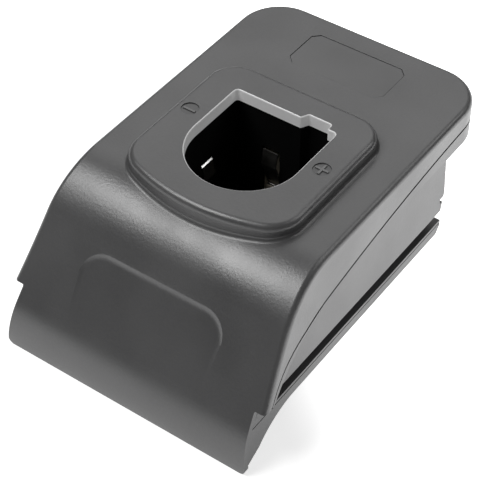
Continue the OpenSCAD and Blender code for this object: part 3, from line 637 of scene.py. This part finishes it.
def plastic(name, rgb, rough, grain=0.25, scale=1500.0, bump=0.03, spread=0.10, spec=0.5):
    """Moulded plastic: a fine spark-eroded grain, faint clouding and uneven gloss."""
    m, nt, bs = new_material(name)
    at = nt.nodes.new("ShaderNodeTexCoord").outputs["Object"]
    fine = noise(nt, at, scale, detail=3.0, roughness=0.55)
    cloud = noise(nt, at, 38.0, detail=4.0)
    shade = remap(nt, multiply_add(nt, cloud, 0.6, fine), 0.45, 1.15, 0.0, 1.0)
    low = max(0.02, rough - PLASTIC_WANDER)
    high = min(1.0, rough + PLASTIC_WANDER)
    gloss = remap(nt, cloud, CLOUD_LOW, CLOUD_HIGH, low, high)
    dark = [c * (1 - spread) for c in rgb]
    light = [min(1.0, c * (1 + spread)) for c in rgb]
    dress(nt, bs, shade, dark, light, gloss, fine, grain, bump)
    bs.inputs["Specular IOR Level"].default_value = spec
    return m


def metal(name, rgb, rough, stretch=(1.0, 1.0, 12.0), scale=900.0, bump=0.01):
    """Plated or stamped metal with fine drawn lines and dull patches."""
    m, nt, bs = new_material(name)
    at = nt.nodes.new("ShaderNodeTexCoord").outputs["Object"]
    drawn = nt.nodes.new("ShaderNodeMapping")
    drawn.inputs["Scale"].default_value = stretch
    nt.links.new(at, drawn.inputs["Vector"])
    fine = noise(nt, drawn.outputs["Vector"], scale, detail=4.0)
    cloud = noise(nt, at, 260.0)
    gloss = remap(nt, cloud, CLOUD_LOW, CLOUD_HIGH, max(0.05, rough - 0.08), rough + 0.1)
    dark = [c * 0.86 for c in rgb]
    light = [min(1.0, c * 1.06) for c in rgb]
    dress(nt, bs, cloud, dark, light, gloss, fine, 0.3, bump)
    bs.inputs["Metallic"].default_value = 1.0
    return m


# the greys, as linear values
GREY = (0.064, 0.064, 0.065)
PLATE_GREY = (0.072, 0.072, 0.073)
# a light grey that paints light on to the socket's lip walls
LIP_LIGHT_PAINTED_GREY = (0.70, 0.70, 0.70)
# a lighter grey on the tops of the polarity marks' bars: a painted highlight
MARK_HIGHLIGHT_GREY = (0.105, 0.105, 0.106)
# a darker grey on the floors of the marks' round recesses: painted shade
RECESS_SHADE_GREY = (0.050, 0.050, 0.051)
mat_cover = plastic("cover_plastic", GREY, 0.36, grain=0.8, scale=1100, bump=0.06, spread=0.09, spec=1.0)
mat_lower = plastic("lower_plastic", GREY, 0.38, grain=0.6, scale=1100, bump=0.05, spread=0.09, spec=1.0)
mat_plate = plastic(
    "plate_plastic", PLATE_GREY, 0.40, grain=0.15, scale=2200, bump=0.02, spread=0.05, spec=1.0
)
mat_lip_light_painted = plastic("lip_painted_light", LIP_LIGHT_PAINTED_GREY, 0.35, grain=0.2, scale=1400, bump=0.02, spread=0.04, spec=1.0)
# the marks' bar tops are lighter, a painted highlight, and their recess floors darker, painted shade
mat_mark_highlight = plastic("mark_painted_highlight", MARK_HIGHLIGHT_GREY, 0.34, grain=0.2, scale=1400, bump=0.02, spread=0.04, spec=1.0)
mat_recess_shade = plastic(
    "recess_painted_shade", RECESS_SHADE_GREY, 0.40, grain=0.4, scale=1100, bump=0.04, spread=0.06, spec=1.0
)
# painted light: the socket's lip walls are a much lighter grey than the cover and glow a little, in place of
# light scattered inside the mouth
lip_glow_shader = mat_lip_light_painted.node_tree.nodes["Principled BSDF"]
lip_glow_shader.inputs["Emission Color"].default_value = (1, 1, 1, 1)
lip_glow_shader.inputs["Emission Strength"].default_value = 0.14
# near black: the painted shadow of the seam along the parting line
mat_seam_shadow = plastic("seam_shade", (0.006, 0.006, 0.006), 0.8, grain=0.1, spread=0.2, spec=0.1)
mat_well = plastic("well_plastic", (0.004, 0.004, 0.004), 0.65, grain=0.3, spread=0.2, spec=0.15)
mat_block = plastic("block_plastic", (0.012, 0.012, 0.012), 0.5, grain=0.3, spread=0.2)
mat_holder = plastic("holder_plastic", (0.55, 0.50, 0.40), 0.55, grain=0.3, scale=1100, spread=0.08)
mat_header = plastic("header_plastic", (0.75, 0.74, 0.68), 0.4, grain=0.2, spread=0.04)
mat_board = plastic("board_mask", (0.02, 0.11, 0.05), 0.35, grain=0.25, scale=700, bump=0.03, spread=0.25)
mat_resistor = plastic("resistor_coat", (0.50, 0.36, 0.20), 0.5, grain=0.4, scale=900, spread=0.12)
mat_sleeve = plastic("capacitor_sleeve", (0.02, 0.03, 0.10), 0.3, grain=0.2, scale=900, spread=0.15)
mat_glass = plastic("fuse_body", (0.70, 0.72, 0.70), 0.15, grain=0.1, scale=700, spread=0.05)
mat_black_lead = plastic("lead_black", (0.012, 0.012, 0.012), 0.5, grain=0.4, scale=900, spread=0.2)
mat_red_lead = plastic("lead_red", (0.33, 0.012, 0.010), 0.5, grain=0.4, scale=900, spread=0.12)
mat_white_lead = plastic("lead_white", (0.72, 0.72, 0.70), 0.5, grain=0.4, scale=900, spread=0.06)
mat_contact = metal("contact_plate", (0.92, 0.90, 0.86), 0.22)
mat_leaf = metal("contact_leaf", (0.36, 0.35, 0.33), 0.34)
mat_edge = metal("contact_edge", (0.98, 0.98, 0.97), 0.18)
mat_brass = metal("brass_tab", (0.72, 0.55, 0.24), 0.3)
mat_screw = metal("screw_zinc", (0.62, 0.62, 0.63), 0.32, stretch=(1, 1, 1), scale=1500)

BY_NODE = {
    "lower_housing": mat_lower,
    "battery_well": mat_well,
    "label_plate": mat_plate,
    "leaf_negative": mat_leaf,
    "leaf_positive": mat_leaf,
    "leaf_sense": mat_leaf,
    "holder_negative": mat_holder,
    "holder_positive": mat_holder,
    "holder_sense": mat_holder,
    "contact_tabs": mat_brass,
    "circuit_board": mat_board,
    "lead_header": mat_header,
    "fuse": mat_glass,
    "diode": mat_block,
    "resistor": mat_resistor,
    "capacitor": mat_sleeve,
    "terminal_block": mat_block,
    "output_plate_negative": mat_contact,
    "output_plate_positive": mat_contact,
    "output_plate_sense": mat_contact,
    "lead_negative": mat_black_lead,
    "lead_positive": mat_red_lead,
    "lead_sense": mat_white_lead,
    "housing_screws": mat_screw,
    "board_screws": mat_screw,
    "well_screws": mat_screw,
    "top_cover": mat_cover,
}
for name, mat in BY_NODE.items():
    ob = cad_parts[name]
    if len(ob.material_slots) == 0:
        ob.data.materials.append(mat)
    for slot in ob.material_slots:
        slot.material = mat

cover.name = "top_cover_fine"
cover.data.materials.clear()
for mat in (mat_cover, mat_lip_light_painted, mat_mark_highlight, mat_recess_shade):
    cover.data.materials.append(mat)
SKIN_SLOT, LIP_LIGHT_PAINTED_SLOT, MARK_HIGHLIGHT_SLOT, RECESS_SHADE_SLOT = range(4)
for p in cover.data.polygons:
    x, y, z = p.center / MM
    in_socket = abs(x) < S_HALF + 0.8 and S_ARC - S_HALF - 0.8 < y < S_REAR + KEY_D + 0.8
    in_mark = any(math.hypot(x - mx, y - my) < MARK_R for mx, my in MARKS)
    # the socket's lip walls take the lip material, whose light grey and glow are painted light
    if in_socket and LIP_Z - 0.1 < z < FACE - 0.05 and abs(p.normal.z) < 0.95:
        p.material_index = LIP_LIGHT_PAINTED_SLOT
    # in the marks, the bar tops get a painted highlight and the rest of the recess painted shade
    elif in_mark and z < FACE - 0.005:
        p.material_index = MARK_HIGHLIGHT_SLOT if z > FACE - 0.06 else RECESS_SHADE_SLOT
    else:
        p.material_index = SKIN_SLOT
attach(cover, "housing")
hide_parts("top_cover")
shadow_sheet.data.materials.clear()
shadow_sheet.data.materials.append(mat_seam_shadow)
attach(shadow_sheet, "housing")
cheek.data.materials.clear()
cheek.data.materials.append(mat_lower)
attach(cheek, "housing")

for leaf_body, edge in leaf_edges.items():
    edge.data.materials.append(mat_edge)
    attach(edge, leaf_body)

# ---------------------------------------------------------------- floor and light
FLOOR_HALF = 3
floor_corners = [(FLOOR_HALF * i, FLOOR_HALF * j, 0) for i, j in ((-1, -1), (1, -1), (1, 1), (-1, 1))]
floor = add("floor", floor_corners, [(0, 1, 2, 3)], 1.0)
floor_mat, floor_tree, floor_bsdf = new_material("pale_floor")
floor_bsdf.inputs["Base Color"].default_value = (0.80, 0.80, 0.80, 1)
floor_bsdf.inputs["Roughness"].default_value = 0.9
floor_bsdf.inputs["Specular IOR Level"].default_value = 0.1
# a lit table: it glows, so that shadows on it stay pale, and from the part's front left to
# its right rear the glow rises
floor_bsdf.inputs["Emission Color"].default_value = (1, 1, 1, 1)
place = floor_tree.nodes.new("ShaderNodeSeparateXYZ")
table = floor_tree.nodes.new("ShaderNodeTexCoord")
floor_tree.links.new(table.outputs["Object"], place.inputs[0])
across = multiply_add(floor_tree, place.outputs["Y"], 1.3, place.outputs["X"])
glow = remap(floor_tree, across, -0.020, 0.05, 0.66, 1.5, "SMOOTHSTEP")
floor_tree.links.new(glow, floor_bsdf.inputs["Emission Strength"])
floor.data.materials.append(floor_mat)


def softbox(name, direction, distance, width, height, radiance):
    """A rectangular light that faces the part, given by the brightness of its surface."""
    light = bpy.data.lights.new(name, "AREA")
    light.shape = "RECTANGLE"
    light.size = width
    light.size_y = height
    light.energy = radiance * math.pi * width * height
    lamp = bpy.data.objects.new(name, light)
    bpy.context.scene.collection.objects.link(lamp)
    aim = Vector((0, 0, 0.05))
    out = Vector(direction).normalized()
    lamp.location = aim + distance * out
    lamp.rotation_euler = (-out).to_track_quat("-Z", "Y").to_euler()


softbox("strip_over", (-0.415, -0.335, 0.845), 1.2, 0.60, 0.54, 7.8)
softbox("box_rear", (-0.38, 0.62, 0.68), 1.3, 1.3, 0.9, 1.15)
softbox("strip_rear_right", (0.43, 0.55, 0.715), 1.3, 0.42, 0.75, 2.3)

WORLD_STRENGTH = 0.08
world = bpy.data.worlds.new("studio")
bpy.context.scene.world = world
world.use_nodes = True
bg = world.node_tree.nodes["Background"]
bg.inputs["Color"].default_value = (1, 1, 1, 1)
bg.inputs["Strength"].default_value = WORLD_STRENGTH
# the plain transform keeps the photo's white background white
bpy.context.scene.view_settings.view_transform = "Standard"
